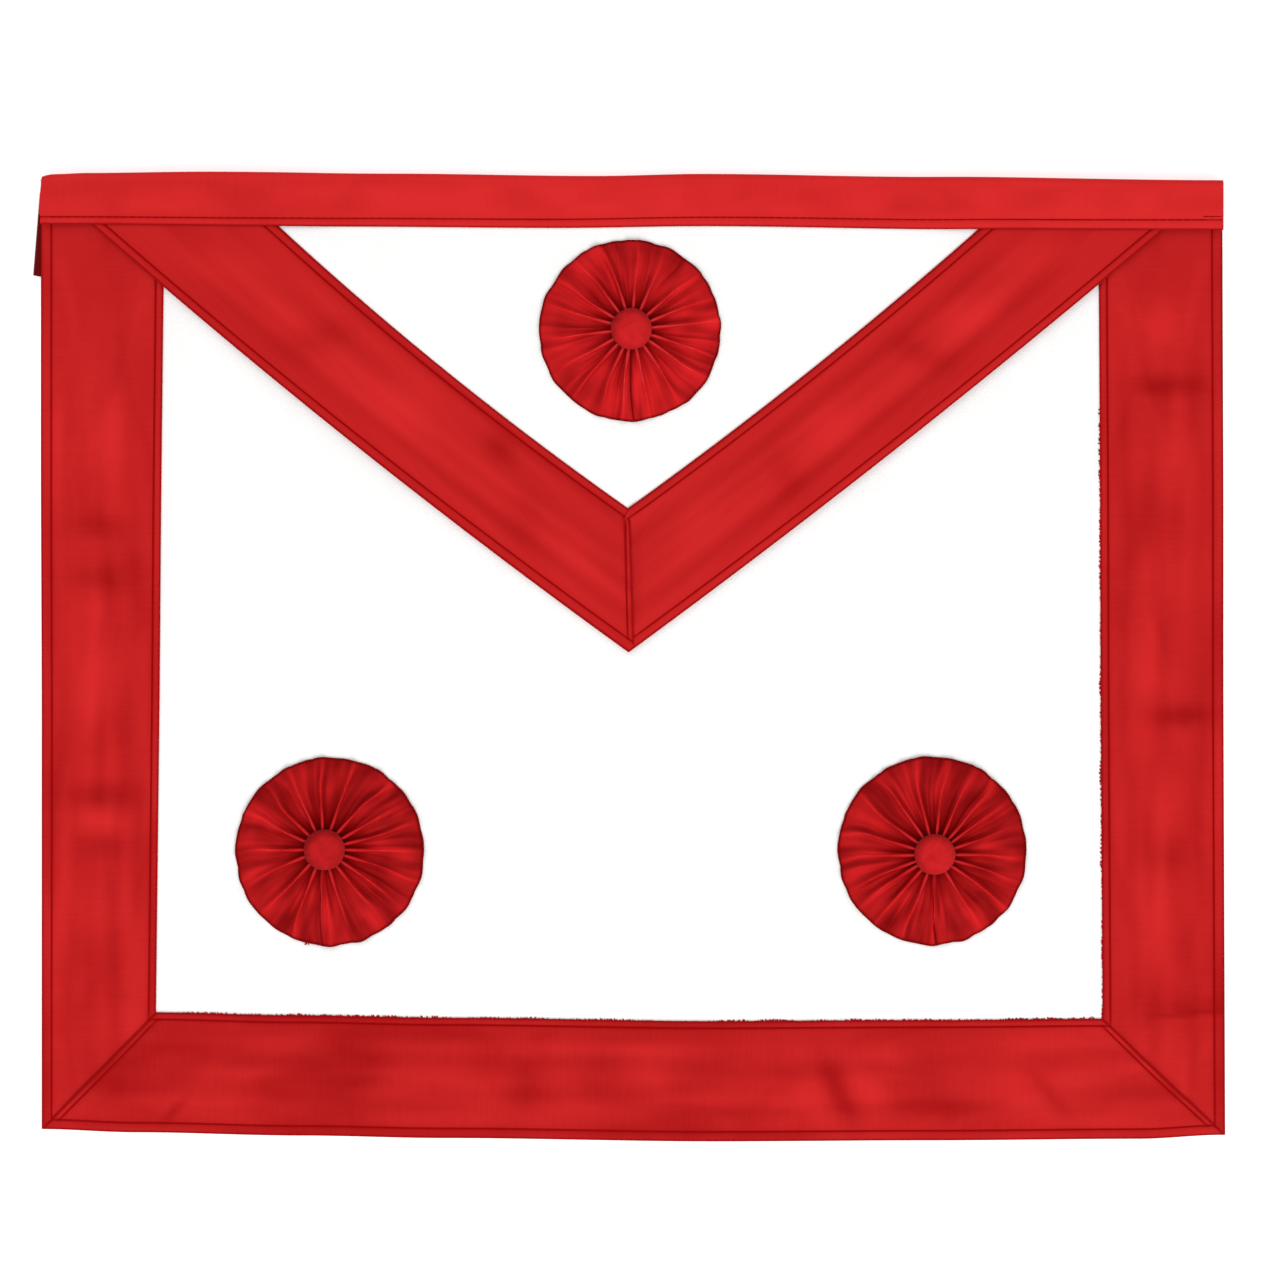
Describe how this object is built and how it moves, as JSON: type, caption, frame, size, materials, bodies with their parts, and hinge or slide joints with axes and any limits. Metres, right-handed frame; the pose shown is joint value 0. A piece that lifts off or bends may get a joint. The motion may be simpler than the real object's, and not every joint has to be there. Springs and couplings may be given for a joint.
{
  "type": "masonic apron",
  "caption": "Ceremonial apron of white leather with a pointed flap, ribbon borders, pleated rosettes with covered buttons and a folded belt.",
  "frame": {"origin": "middle of the footprint, on the surface that the apron lies on", "axes": "+X to the wearer's left as seen from the front, +Y up the apron to its waistband, +Z out of its front face"},
  "size_m": [0.4038, 0.3284, 0.0155],
  "materials": {
    "white_leather": "smooth white lambskin, matte",
    "red_ribbon": "woven moire ribbon with a soft sheen",
    "red_felt": "matte felt",
    "belt_metal": "nickel-plated, satin"
  },
  "bodies": {
    "root": {"body_panel": "white_leather", "flap_panel": "white_leather", "side_ribbon_left": "red_ribbon", "side_ribbon_right": "red_ribbon", "bottom_ribbon": "red_ribbon", "flap_ribbon_left": "red_ribbon", "flap_ribbon_right": "red_ribbon", "waistband": "red_ribbon", "belt_left": "red_ribbon", "belt_right": "red_ribbon", "rosette_flap": "red_ribbon", "rosette_left": "red_ribbon", "rosette_right": "red_ribbon", "button_flap": "red_felt", "button_left": "red_felt", "button_right": "red_felt", "belt_hook": "belt_metal", "belt_ring": "belt_metal"}
  },
  "joints": []
}
